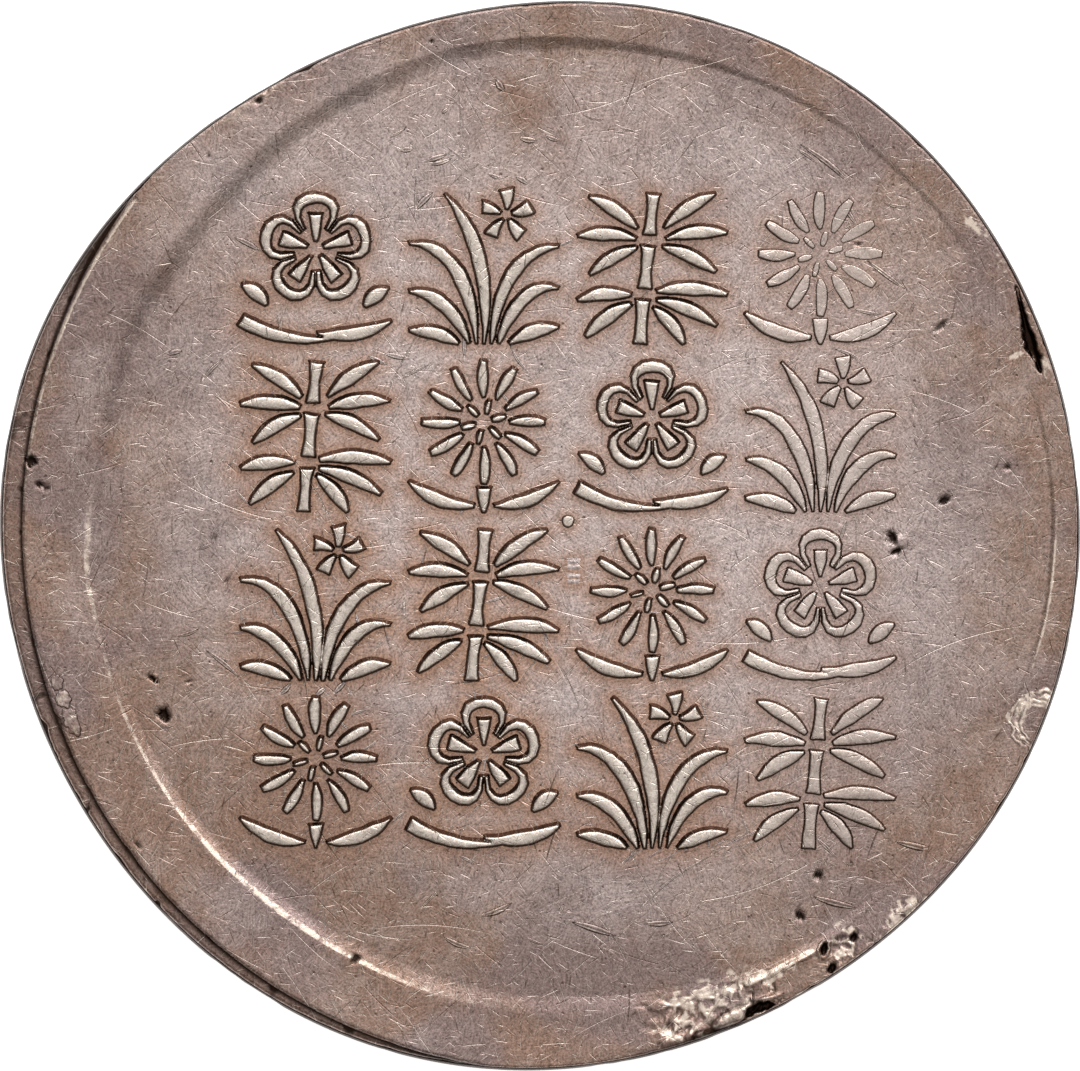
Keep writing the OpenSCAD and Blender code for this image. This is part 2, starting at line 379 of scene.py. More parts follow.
# Mesh building
def grid_faces(rows, cols, wrap_rows=False, wrap_cols=False):
    """Quads between neighbouring points of a grid that is stored row by row."""
    i = np.arange(rows if wrap_rows else rows - 1)[:, None]
    j = np.arange(cols if wrap_cols else cols - 1)[None, :]
    i1, j1 = (i + 1) % rows, (j + 1) % cols
    quads = np.stack(np.broadcast_arrays(i * cols + j, i1 * cols + j, i1 * cols + j1, i * cols + j1), -1)
    return quads.reshape(-1, 4)


def enclosed_volume(points, quads):
    """Signed volume inside a closed set of quads."""
    a, b, c, d = (points[quads[:, k]] for k in range(4))
    return np.einsum("ij,ij->", a, np.cross(b, c)) + np.einsum("ij,ij->", a, np.cross(c, d))


def store(mesh, key, value):
    """Keeps one number or one vector for each point of a mesh."""
    value = np.asarray(value, np.float32)
    vector = value.ndim == 2 and value.shape[1] == 3 and len(value) == len(mesh.vertices)
    layer = mesh.attributes.new(key, "FLOAT_VECTOR" if vector else "FLOAT", "POINT")
    layer.data.foreach_set("vector" if vector else "value", value.ravel())


def toning_and_painted_light(points):
    """Tarnish and painted light from 0, cool and pale, to 1, warm and dark: palest in the middle, a painted
    pool of light that darkens towards the edge, the bottom and the left, darkest at the lower left and the
    upper right, with a few stains and patches of painted light and shade."""
    x, y = points[:, 0], points[:, 1]
    bowl = 0.0038 * (x * x + y * y) + 0.0016 * x * y - 0.014 * x - 0.018 * y - 0.21
    return np.clip(np.clip(bowl, 0, 1) + marks(x, y, STAINS_AND_PAINTED_LIGHT, ragged=0.3, power=2), 0, 1.1)


def add_piece(name, points, quads, node, material, values=None, caps=()):
    """Makes one closed piece from quads and flat end caps, faces outwards, and ties it to the frame."""
    if not len(caps) and enclosed_volume(points, quads) < 0:
        quads = quads[:, ::-1]
    mesh = bpy.data.meshes.new(name)
    mesh.from_pydata((points * MM).tolist(), [], quads.tolist() + [list(c) for c in caps])
    mesh.polygons.foreach_set("use_smooth", np.ones(len(mesh.polygons), bool))
    for key, value in {"flat": points, "tone_and_painted_light": toning_and_painted_light(points), **(values or {})}.items():
        store(mesh, key, value)
    mesh.materials.append(material)
    mesh.update()
    piece = bpy.data.objects.new(name, mesh)
    bpy.context.scene.collection.objects.link(piece)
    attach(piece, "root")
    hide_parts(node)
    return piece


def disc_grid(count, radius):
    """Even grid of points over a disc: each square ring of a square grid is bent to a circle."""
    u, v = np.meshgrid(np.linspace(-1, 1, count), np.linspace(-1, 1, count), indexing="ij")
    flat = np.abs(u) >= np.abs(v)
    big, small = np.where(flat, u, v), np.where(flat, v, u)
    ratio = np.divide(small, big, out=np.zeros_like(big), where=big != 0) * math.pi / 4
    x = radius * big * np.where(flat, np.cos(ratio), np.sin(ratio))
    y = radius * big * np.where(flat, np.sin(ratio), np.cos(ratio))
    return x, y


def border_of(count):
    """Indices round the edge of a square grid, in order."""
    index = np.arange(count * count).reshape(count, count)
    return np.concatenate((index[0, :-1], index[:-1, -1], index[-1, :0:-1], index[:0:-1, 0]))


# Relief
def outline_edges(node):
    """Start and end points of the edges round the flat top of a relief solid, in millimetres."""
    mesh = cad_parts[node].data
    mesh.calc_loop_triangles()
    co = np.empty(len(mesh.vertices) * 3)
    mesh.vertices.foreach_get("co", co)
    co = co.reshape(-1, 3) / MM
    tri = np.empty(len(mesh.loop_triangles) * 3, int)
    mesh.loop_triangles.foreach_get("vertices", tri)
    tri = tri.reshape(-1, 3)
    tri = tri[co[tri, 2].min(1) > co[:, 2].max() - 1e-3]
    xy, weld = np.unique(np.round(co[:, :2], 4), axis=0, return_inverse=True)
    edges = np.sort(weld.reshape(-1)[tri[:, [[0, 1], [1, 2], [2, 0]]]].reshape(-1, 2), axis=1)
    edges, uses = np.unique(edges, axis=0, return_counts=True)
    edges = edges[uses == 1]
    return xy[edges[:, 0]], xy[edges[:, 1]]


def depth_inside(x, y, starts, ends):
    """Distance from each point to the nearest edge, positive inside the outline and negative outside."""
    near = np.full(x.shape, 99.0)
    inside = np.zeros(x.shape, bool)
    for (ax, ay), (bx, by) in zip(starts, ends):
        ex, ey = bx - ax, by - ay
        px, py = x - ax, y - ay
        t = np.clip((px * ex + py * ey) / (ex * ex + ey * ey), 0, 1)
        near = np.minimum(near, (px - t * ex) ** 2 + (py - t * ey) ** 2)
        if ey:
            inside ^= ((ay > y) != (by > y)) & (px < py * ex / ey)
    return np.where(inside, 1, -1) * np.sqrt(near)


def strike_strength(x, y):
    """How fully the die filled: weakest at the upper right, weak down the right side."""
    faint = 0.6 * np.exp(-(((x - 11.3) / 2.8) ** 2 + ((y - 10.2) / 3.0) ** 2))
    return 1 - faint - 0.3 * ease(x, 6, 10)


depth_by_kind = {}
halo_maps = []


def relief_depth(node):
    """Grid over a relief solid and the depth inside its strokes, worked out once for each kind of motif."""
    low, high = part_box(node)
    cx, cy = (low.x + high.x) / 2 / MM, (low.y + high.y) / 2 / MM
    half = max(high.x - low.x, high.y - low.y) / 2 / MM + HALO_REACH
    kind = node.split("_")[0]
    count = 2 * math.ceil(half / GRID_STEP) + 1
    line = (np.arange(count) - count // 2) * GRID_STEP
    dx, dy = np.meshgrid(line, line, indexing="ij")
    if kind not in depth_by_kind:
        starts, ends = outline_edges(node)
        depth_by_kind[kind] = depth_inside(dx, dy, starts - (cx, cy), ends - (cx, cy))
    depth = depth_by_kind[kind]
    halo_maps.append((cx, cy, count, depth))
    return cx + dx, cy + dy, depth


def relief_height(x, y, depth, strength, height, lower, upper):
    """Engraved relief, as height over the field and share of the flank climbed: it climbs from the outline's
    foot, gently on the upper side and steeply on the lower, and rounds over to a crowned top, so narrow tips
    stay low and meet in ridges."""
    gx, gy = np.gradient(depth, GRID_STEP)
    facing = ease(-gy / np.maximum(np.hypot(gx, gy), 1e-6), -0.3, 0.7) * strength
    slope = (lower + (upper - lower) * facing) * (2 - strength)
    foot = 0.04 + 0.06 * facing + 0.03 * layered_noise(x, y, pitch=0.6, seed=11, layers=2)
    climb = np.clip(slope * (depth + foot) / (FLANK_SHARE * height), -1, 4)
    soft = 0.13
    flank = np.clip(-soft * np.log(np.exp(-climb / soft) + math.exp(-1 / soft)), -0.3, 1)
    crown = 1 - np.exp(-np.maximum(depth, 0) / 0.16)
    share = FLANK_SHARE * flank + (1 - FLANK_SHARE) * crown
    z = height * share * np.where(share > 0, strength, 1)
    return z + 0.014 * layered_noise(x, y, pitch=0.45, seed=3) * ease(share, 0.3, 1), flank


def add_relief(node, material, lower=4.2, upper=1.8):
    """Relief of one solid: a sheet that rises inside the strokes, dips under the field outside them, and is
    closed below by a wall and a flat copy of itself."""
    x, y, depth = relief_depth(node)
    strength = strike_strength(x, y)
    z, flank = relief_height(x, y, depth, strength, top_of(node) - FIELD_Z, lower, upper)
    # Steepness, by which the flanks are painted dark: partly tarnish, partly painted shade
    steep = ease(np.hypot(*np.gradient(z, GRID_STEP)), 0.5, 1.5)
    quads = grid_faces(*x.shape)
    quads = quads[flank.ravel()[quads].max(1) > -0.25]
    used, packed = np.unique(quads, return_inverse=True)
    quads = packed.reshape(-1, 4)
    top = np.column_stack((x.ravel(), y.ravel(), FIELD_Z + z.ravel()))[used]
    base = np.column_stack((top[:, :2], np.full(len(top), FIELD_Z - 0.15)))
    sides = quads[:, [[0, 1], [1, 2], [2, 3], [3, 0]]].reshape(-1, 2)
    _, first, uses = np.unique(np.sort(sides, axis=1), axis=0, return_index=True, return_counts=True)
    start, end = sides[first[uses == 1]].T
    wall = np.column_stack((end, start, start + len(top), end + len(top)))
    points = np.vstack((top, base))
    faces = np.vstack((quads, quads[:, ::-1] + len(top), wall))
    values = {"steep": np.tile(steep.ravel()[used], 2), "strike": np.tile(strength.ravel()[used], 2)}
    return add_piece("relief_" + node, points, faces, node, material, values)


def relief_halo(x, y):
    """Closeness to the nearest stroke, 1 at its foot and fading outwards, more slowly at the lower left."""
    halo = np.zeros_like(x)
    for cx, cy, count, depth in halo_maps:
        i = np.rint((x - cx) / GRID_STEP).astype(int) + count // 2
        j = np.rint((y - cy) / GRID_STEP).astype(int) + count // 2
        near = (i >= 0) & (i < count) & (j >= 0) & (j < count)
        away = np.maximum(-depth[i[near], j[near]], 0)
        edge = ease(away, HALO_REACH, HALO_REACH * 0.6)
        spread = 0.40 + 0.28 * ease(x[near] + y[near], 3, -9)
        halo[near] = np.maximum(halo[near], np.exp(-((away / spread) ** 1.5)) * edge)
    return halo


# Faces, rims and edge
def field_level(x, y):
    """Height of the struck field without its pits: slow waves that die out towards the rim."""
    calm = ease(np.hypot(x - STRIKE_X, y - STRIKE_Y), FIELD_R - 0.6, FIELD_R - 2.5)
    return FIELD_Z - 0.004 + 0.010 * layered_noise(x, y, pitch=6.0, seed=21) * calm


def add_plate(name, x, y, z, floor_z, material, values):
    """Disc whose grid is one face, closed by a wall down to a flat side at another level."""
    count = len(x)
    rim = border_of(count)
    top = np.column_stack((x.ravel(), y.ravel(), z.ravel()))
    under = np.column_stack((top[rim, :2], np.full(len(rim), floor_z)))
    ring = np.arange(len(rim)) + len(top)
    wall = np.column_stack((rim, np.roll(rim, -1), np.roll(ring, -1), ring))
    quads, cap = grid_faces(count, count), ring
    if z.mean() > floor_z:
        wall, cap = wall[:, ::-1], cap[::-1]
    else:
        quads = quads[:, ::-1]
    points, faces = np.vstack((top, under)), np.vstack((quads, wall))
    values = {key: np.pad(value.ravel(), (0, len(rim))) for key, value in values.items()}
    return add_piece(name, points, faces, "flan", material, values, [cap])


def add_field(material):
    """Struck field: a disc with slow waves and pits, closed by a flat underside."""
    x, y = disc_grid(FIELD_POINTS, FIELD_R + 0.5)
    x, y = gather(x + STRIKE_X, y + STRIKE_Y, FIELD_PITS)
    drop = surface_drop(x, y)
    halo = relief_halo(x, y) * (0.75 + 0.25 * ease(x + y, 6, -8)) * (1 - 0.5 * ease(x, 6, 10))
    values = {"halo": halo, "soil": pit_soil(drop), "rub": marks(x, y, RUBS)}
    return add_plate("obverse_field", x, y, field_level(x, y) - drop, FIELD_Z - 0.4, material, values)


def strewn(rng, count, area, turn, length, width):
    """Straight lines strewn over a rectangle: turn by mean and spread in degrees, the sizes by limits."""
    x, y = rng.uniform(area[0], area[1], count), rng.uniform(area[2], area[3], count)
    angle, half = np.radians(rng.normal(*turn, count)), rng.uniform(*length, count) / 2
    dx, dy = half * np.cos(angle), half * np.sin(angle)
    return np.column_stack((x - dx, y - dy, x + dx, y + dy, rng.uniform(*width, count)))


def scratch_lines(rng):
    """Ends and half widths of all scratches: the plain ones where they show, then strewn ones."""
    whole = (STRIKE_X - FIELD_R, STRIKE_X + FIELD_R, STRIKE_Y - FIELD_R, STRIKE_Y + FIELD_R)
    fine = strewn(rng, 1700, whole, turn=(60, 90), length=(0.12, 0.6), width=(0.010, 0.018))
    plain = strewn(rng, 170, whole, turn=(60, 90), length=(0.25, 0.9), width=(0.020, 0.036))
    slanted = strewn(rng, 46, (1, 14, -15, -8), turn=(32, 7), length=(0.4, 2.4), width=(0.012, 0.022))
    lines = np.vstack((SCRATCHES, fine, plain, slanted))
    return lines[np.hypot(lines[:, 0] - STRIKE_X, lines[:, 1] - STRIKE_Y) < FIELD_R - 0.8]


def add_scratches(material):
    """Scratches: thin tapered furrows between two turned-up lips, along slightly bent lines, with a fixed
    seed for the strewn ones."""
    rng = np.random.default_rng(5)
    lines = scratch_lines(rng)
    ax, ay, bx, by, width = (v[:, None] for v in lines.T)
    rows = 7
    t = np.linspace(0, 1, rows)[None, :]
    swell = np.sin(math.pi * np.clip(t, 0.02, 0.98)) ** 0.6
    bend = rng.uniform(-0.06, 0.06, len(lines))[:, None] * np.sin(math.pi * t)
    x = ax + (bx - ax) * t - bend * (by - ay)
    y = ay + (by - ay) * t + bend * (bx - ax)
    span = np.hypot(bx - ax, by - ay)
    half = width * swell
    side_x, side_y = -(by - ay) / span * half, (bx - ax) / span * half
    level = field_level(x, y)
    across = np.array((-2.3, -0.9, 0.0, 0.9, 2.3, 0.0))
    lift = np.array((0.0, 0.8, 0.1, 0.8, 0.0, 0.0))
    sink = np.array((0.006, 0.0, 0.0, 0.0, 0.006, 0.03))
    wide = [np.asarray(v)[:, :, None] for v in (x, y, level, side_x, side_y, half)]
    x, y, level, side_x, side_y, half = wide
    points = np.stack((x + across * side_x, y + across * side_y, level + lift * half - sink), -1)
    cols = len(across)
    fan = np.array(((0, 1, 2, 5), (2, 3, 4, 5)))
    tube = grid_faces(rows, cols, wrap_cols=True)
    one = np.vstack((tube[:, ::-1], fan, fan[:, ::-1] + (rows - 1) * cols))
    quads = (one[None, :, :] + rows * cols * np.arange(len(lines))[:, None, None]).reshape(-1, 4)
    each = rows * len(lines)
    # The lips are lightened and the furrow's bottom darkened, soiling and painted shade
    values = {
        "rub": np.tile((0.0, 0.6, 0.0, 0.6, 0.0, 0.0), each),
        "soil": np.tile((0.0, 0.0, 0.6, 0.0, 0.0, 0.0), each),
    }
    return add_piece("scratches", points.reshape(-1, 3), quads, "flan", material, values)


def add_back_field(material):
    """Bare field of the back: a disc with slow waves, closed by a flat inner side."""
    x, y = disc_grid(BACK_POINTS, BACK_FIELD_R + 0.3)
    z = BACK_Z + 0.012 * layered_noise(x, y, pitch=5.0, seed=31)
    return add_plate("reverse_field", x, y, z, BACK_Z + 0.4, material, {})


def round_turns(rows):
    """Even angles round a full circle, one to a row."""
    return (np.arange(rows) * 2 * math.pi / rows)[:, None]


def close_section(r, z, *base):
    """Adds the underside to cross-sections: radius and height of each further corner, round the section."""
    heights = [np.full((len(r), 1), height) for _, height in base]
    return np.hstack((r, *(radius for radius, _ in base))), np.hstack((z, *heights))


def on_section(**values):
    """Values for a cross-section that has three corners below, where they are 0."""
    return {key: np.pad(value, ((0, 0), (0, 3))) for key, value in values.items()}


def ring_points(centre, angle, r, z):
    """Points of cross-sections that stand round a centre, row by row."""
    x, y = centre[0] + r * np.cos(angle), centre[1] + r * np.sin(angle)
    return np.column_stack((x.ravel(), y.ravel(), z.ravel()))


def add_ring(name, centre, angle, r, z, node, material, values=None):
    """Closed ring: each row is one cross-section, given as radius and height round the section."""
    points = ring_points(centre, angle, r, z)
    quads = grid_faces(*r.shape, wrap_rows=True, wrap_cols=True)
    return add_piece(name, points, quads, node, material, values)


def die_edge(angle):
    """Radius of the die's edge about the strike centre: a circle set a little low."""
    return DIE_R - DIE_DROP * np.sin(angle)


def edge_nicks(angle):
    """Small bites out of the outer edge, more of them along its worn stretches."""
    x, y = 19 * np.cos(angle), 19 * np.sin(angle)
    rough = np.clip(layered_noise(x, y, pitch=0.9, seed=41, layers=4) - 0.45, 0, 1)
    return 0.16 * rough * (0.3 + edge_wear(angle))


def around(angle, centre, half):
    """Bump of height 1 about an angle in degrees."""
    away = (np.degrees(angle) - centre + 180) % 360 - 180
    return np.exp(-((away / half) ** 2))


def crowded_turns(rows):
    """Angles round the rim, closer together at the damaged lower right."""
    turn = np.linspace(0, 2 * math.pi, 7201)
    total = np.cumsum(1 + 1.5 * around(turn, 312, 36))
    share = (total - total[0]) / (total[-1] - total[0])
    return np.interp(np.arange(rows) / rows, share, turn)[:, None]


def scar_ridges(x, y):
    """Uneven concentric ridges, 0 to 1, that a slipped blow left at the right edge, and their patch."""
    away = np.hypot(x - SCAR_X, y - SCAR_Y) + 0.17 * layered_noise(x, y, pitch=0.5, seed=15)
    patch = ease(away, SCAR_R, SCAR_R - 0.2) * ease(away, 0.5, 0.85)
    ridges = 0.5 + 0.5 * np.cos(2 * math.pi * (away - 0.84) / 0.18)
    return ridges * patch * (0.6 + 0.7 * lattice_noise(x, y, pitch=0.4, seed=16)), patch


def rolled_lips(x, y):
    """Height of the rolled-over lips, half round across, and the darkened seam round their feet."""
    wobble = 1 + 0.08 * layered_noise(x, y, pitch=0.5, seed=19, layers=2)
    height, seam = np.zeros_like(x), np.zeros_like(x)
    for mark in ROLLS:
        reach = mark_reach(x, y, mark) * wobble
        height = np.maximum(height, mark[-1] * np.sqrt(np.clip(1 - reach**2, 0, 1)))
        seam = np.maximum(seam, ease(reach, 0.92, 1.05) * ease(reach, 1.45, 1.12))
    return height, seam


def rim_damage(x, y, worn):
    """Damage of the rim: rise of dented, crumpled, rolled and scarred metal, its worn spots and the
    darkening in its creases.
    """
    dent = np.clip(marks(x, y, LUMPS), 0, 1)
    crumpled = np.abs(layered_noise(x, y, pitch=0.30, seed=63, layers=2))
    scar, scar_patch = scar_ridges(x, y)
    rolls, seam = rolled_lips(x, y)
    ridges = marks(x, y, LIPS, ragged=0.15, power=2)
    creased = np.clip(dent + 0.6 * worn, 0, 1) * crumpled * ease(ridges + rolls, 0.06, 0.02)
    rise = ridges + rolls - 0.10 * dent - 0.08 * creased + 0.05 * scar - 0.03 * scar_patch * crumpled
    bared = marks(x, y, RUBS) * ease(crumpled, 0.7, 0.15) * ease(rolls, 0.06, 0.02) + 0.4 * worn
    bared = bared + 0.8 * scar + (0.15 + 0.45 * ease(y, -7.6, -6.4)) * scar_patch
    bared = bared + 0.45 * ease(ridges, 0.03, 0.09) + 0.6 * ease(rolls, 0.04, 0.10)
    # Darkening in the creases: the seam round the rolled lips and the scar's troughs
    crease_darkening = 0.7 * seam + 0.5 * scar_patch * ease(scar, 0.12, 0.0)
    return rise, bared, crease_darkening


def slope_share(along, bend):
    """Share of a slope's rise: eased at both ends, or by its bend steepest at the crest or at the foot."""
    bent = np.where(bend > 0, along**1.7, 1 - (1 - along) ** 1.7)
    return ease(along, 0, 1) * (1 - np.abs(bend)) + bent * np.abs(bend)


def rim_section(angle, outer):
    """Plain rim, row by row from the slope's foot to the outer edge: radius, share of the slope climbed,
    share of the crown crossed, height by the slope's table and a low crown, and radius of the crest."""
    turns, *shape = np.array(RIM_SLOPES).T
    foot, crest, rise, bend = (np.interp(np.degrees(angle), turns, v, period=360) for v in shape)
    flat_top = 1 - 0.85 * around(angle, 50, 45)
    height = np.maximum((0.20 + 0.13 * ease(outer - crest, 0.7, 1.9)) * flat_top, rise + 0.03)
    waver = 0.03 * layered_noise(6 * np.cos(angle), 6 * np.sin(angle), pitch=1.5, seed=51)
    foot, crest = foot + waver, crest + waver
    climb, crown = np.linspace(0, 1, 28), np.sin(np.linspace(0, 1, 26)[1:] * math.pi / 2)
    r = np.hstack((foot + (crest - foot) * climb, crest + (outer - crest) * crown))
    up = slope_share(np.concatenate((climb, np.ones(len(crown)))), bend)
    over = ease(np.concatenate((np.zeros(len(climb)), crown)), 0, 1.2)
    return r, up, over, rise * up + (height - rise) * over, crest


def upper_side(angle):
    """1 along the upper side of the cake and 0 along the lower."""
    return ease(np.sin(angle), -0.2, 0.3)


def rim_painted_highlight_and_wear(angle, beside_ledge, rounding, up, over, from_crest):
    """Painted highlights and wear of the rim: a painted highlight on the turn of its shoulder, on the upper
    side towards the light beside the ledge and faintly on the lower side elsewhere, painted highlights on
    its crest at the lower left and beside the crumpled patch where the lit slope shines, and a worn thin
    line along its crest at the right."""
    upper = upper_side(angle)
    shoulder = np.where(beside_ledge, upper, 0.3 - 0.3 * upper)
    shoulder = shoulder * ease(rounding, 0.0, 0.008) * ease(rounding, 0.08, 0.04)
    crisp = 0.95 * around(angle, 227, 33) + 0.8 * around(angle, 293, 10) + 0.5 * around(angle, 183, 8)
    bright_crest = crisp * ease(up, 0.4, 0.75) * ease(np.maximum(up, over), 1.0, 0.9)
    thin_line = around(angle, 352, 11) * np.exp(-((from_crest / 0.06) ** 2))
    return shoulder + bright_crest + thin_line


def rim_dirt_and_painted_shade(angle, beside_ledge, rounding, from_edge):
    """Painted shade of the rim, partly soiling: down the step to the ledge, wider on the lower side away
    from the light, and a painted shadow along the outer edge below the rolled lips.
    """
    step = beside_ledge * ease(rounding, 0.02 + 0.03 * upper_side(angle), 0.14)
    return step + around(angle, 284, 6) * ease(from_edge, 0.35, 0.1)


def add_obverse_rim(material):
    """Rim: a slope up from the field, wide and soft at the upper left, steep with a bright crest at the
    lower left and nearly worn away at the right, then a low crown and a rounded outer shoulder, cut to the
    die or to the outline, with waves, flow lines and damage on top."""
    angle = crowded_turns(RIM_SECTIONS)
    die, cut = die_edge(angle), outline_from_strike(angle, EDGE_SETBACK)
    beside_ledge = die < cut
    outer = np.minimum(die, cut) - edge_nicks(angle)
    r, up, over, level, crest = rim_section(angle, outer)
    x, y = STRIKE_X + r * np.cos(angle), STRIKE_Y + r * np.sin(angle)
    damage, bared, crease_darkening = rim_damage(x, y, edge_wear(angle) * ease(outer - r, 0.9, 0.1))
    flow = lattice_noise(19 * angle, r / 6, pitch=0.16, seed=57) * up * (1 - up) * around(angle, 140, 35)
    waves = 0.010 * layered_noise(x, y, pitch=2.2, seed=61) + 0.05 * flow + damage
    drop = surface_drop(x, y)
    rounding = shoulder_drop(outer, r, np.where(beside_ledge, 0.17 + 0.13 * around(angle, 148, 22), 0.09))
    foot_z = FIELD_Z - FOOT_SINK
    z = foot_z + level + waves * up
    z = np.where(r < FIELD_R + 0.6, np.maximum(z, foot_z + 0.02 * up), z)
    z = np.minimum(z - drop * up - rounding, RIM_Z)
    # Painted highlights on the shoulder and on the crest where the lit slope shines, with a worn thin line
    painted_highlight_and_wear = rim_painted_highlight_and_wear(angle, beside_ledge, rounding, up, over, r - crest)
    # Painted shade down the step to the ledge and a painted shadow below the rolled lips
    dirt_and_painted_shade = rim_dirt_and_painted_shade(angle, beside_ledge, rounding, outer - r)
    values = on_section(
        soil=np.clip(pit_soil(drop) + 0.8 * dirt_and_painted_shade + crease_darkening, 0, 1),
        rub=np.clip(bared + painted_highlight_and_wear, 0, 1),
    )
    low = FIELD_Z - 0.45
    r, z = close_section(r, z, (outer, FIELD_Z - 0.01), (outer - 0.3, low), (r[:, :1], low))
    strike = (STRIKE_X, STRIKE_Y)
    return add_ring("struck_rim", strike, angle, r, z, "obverse_rim", material, values)


def add_flakes(material):
    """Thin flakes of metal lapped over the rim: flat plates with ragged outlines and sloping sides darkened
    as a painted shadow.
    """
    sides = 72
    turn = np.arange(sides) * 2 * math.pi / sides
    reach = np.array((0.15, 0.5, 0.8, 1.0, 1.28, 1.28))[:, None]
    # Painted shadow by row: none over most of the top, full down the sloping sides
    dark = np.array((0.0, 0.0, 0.0, 0.2, 1.0, 1.0))[:, None]
    one = grid_faces(len(reach), sides, wrap_cols=True)
    ring = np.arange(sides)
    points, quads, caps = [], [], []
    for index, (cx, cy, length, width, tilt, rise) in enumerate(FLAKES):
        ragged = 1 + 0.2 * layered_noise(2 * np.cos(turn), 2 * np.sin(turn), pitch=1.0, seed=101 + index)
        u, v = reach * length * ragged * np.cos(turn), reach * width * ragged * np.sin(turn)
        c, s = math.cos(math.radians(tilt)), math.sin(math.radians(tilt))
        x, y = cx + c * u - s * v, cy + s * u + c * v
        top = RIM_Z - 0.065 + rise + 0.006 * layered_noise(x, y, pitch=0.5, seed=111, layers=2)
        z = np.where(np.arange(len(reach))[:, None] < 4, top, RIM_Z - 0.11)
        z[-1] = RIM_Z - 0.2
        first = index * x.size
        points.append(np.column_stack((x.ravel(), y.ravel(), z.ravel())))
        quads.append(one + first)
        caps += [ring + first, (ring + first + x.size - sides)[::-1]]
    soil = np.tile(np.broadcast_to(dark, (len(reach), sides)).ravel(), len(FLAKES))
    values = {"soil": soil, "rub": 0.45 * (1 - soil)}
    points, quads = np.vstack(points), np.vstack(quads)
    return add_piece("rim_flakes", points, quads, "obverse_rim", material, values, caps)


def add_ledge(material):
    """Crescent outside the die: a low shelf with a rounded outer edge, widest at the left and running out at
    both ends, with a painted shadow along the foot of the step, wider on the lower side, and darker along
    its upper stretch."""
    search = np.radians(np.linspace(100, 300, 4001))
    shown = search[outline_from_strike(search, EDGE_SETBACK) - die_edge(search) > 0.03]
    angle = np.linspace(shown[0], shown[-1], LEDGE_SECTIONS)[:, None]
    die = die_edge(angle)
    inner, outer = die - 0.25, outline_from_strike(angle, EDGE_SETBACK) - edge_nicks(angle)
    r = inner + (outer - inner) * np.sin(np.linspace(0, 1, 26) * math.pi / 2)
    x, y = STRIKE_X + r * np.cos(angle), STRIKE_Y + r * np.sin(angle)
    drop = surface_drop(x, y)
    rounding = shoulder_drop(outer, r, 0.15)
    blisters = ease(layered_noise(x, y, pitch=0.55, seed=73, layers=2), 0.55, 1.0)
    waves = 0.02 * layered_noise(x, y, pitch=1.4, seed=71, layers=4) - 0.03 * blisters
    z = np.minimum(LEDGE_Z - 0.02 - rounding - drop + waves, LEDGE_Z)
    # Painted shadow at the foot of the step, wider on the lower side
    step_shadow = np.exp(-(((r - die) / (0.08 + 0.07 * ease(y, 0, -6))) ** 2))
    soil = np.clip(pit_soil(drop) + step_shadow + 0.6 * blisters + 0.75 * ease(y, 8.0, 10.5), 0, 1)
    values = on_section(soil=soil, rub=0.4 * ease(rounding, 0.01, 0.1))
    low = FIELD_Z - 0.25
    r, z = close_section(r, z, (outer, FIELD_Z - 0.01), (outer - 0.05, low), (inner, low))
    points = ring_points((STRIKE_X, STRIKE_Y), angle, r, z)
    rows, cols = r.shape
    quads = grid_faces(rows, cols, wrap_cols=True)
    first, last = np.arange(cols), np.arange(cols) + (rows - 1) * cols
    caps = [first, last[::-1]]
    return add_piece("edge_shelf", points, quads, "edge_ledge", material, values, caps)


def add_edge(material):
    """Side of the disc: a closed band whose outer face is a barrelled profile with hammer waves. Its wear is
    laid out along the girth and the height, the same on both halves from the right round to the left. Its
    bevels are darkened, soiling and a painted shadow round the outline."""
    angle = round_turns(EDGE_SECTIONS)
    t = np.linspace(-1, 1, 22)
    z = (FIELD_Z + BACK_Z) / 2 + t * (FIELD_Z - BACK_Z) / 2
    girth = OUTLINE_R * np.minimum(angle, 2 * math.pi - angle)
    waves = 0.05 * np.clip(layered_noise(girth, z, pitch=1.6, seed=81), -1, 0) * (1 - t**6)
    r = outline_r(angle) - EDGE_SETBACK * np.abs(t) ** 5 + waves
    inside = outline_r(angle) - 0.6
    r = np.hstack((r, inside, inside))
    z = np.broadcast_to(np.concatenate((z, (FIELD_Z - 0.8, BACK_Z + 0.8))), r.shape)
    girth = np.broadcast_to(girth, r.shape)
    flat = np.column_stack((girth.ravel(), z.ravel(), np.zeros(r.size)))
    # Darkened bevels: soiling and a painted shadow round the outline
    dirt_and_painted_shade = np.broadcast_to(np.concatenate((ease(np.abs(t), 0.55, 0.85), (0, 0))), r.shape)
    values = {"flat": flat, "soil": dirt_and_painted_shade}
    return add_ring("disc_edge", (0, 0), angle, r, z, "flan", material, values)


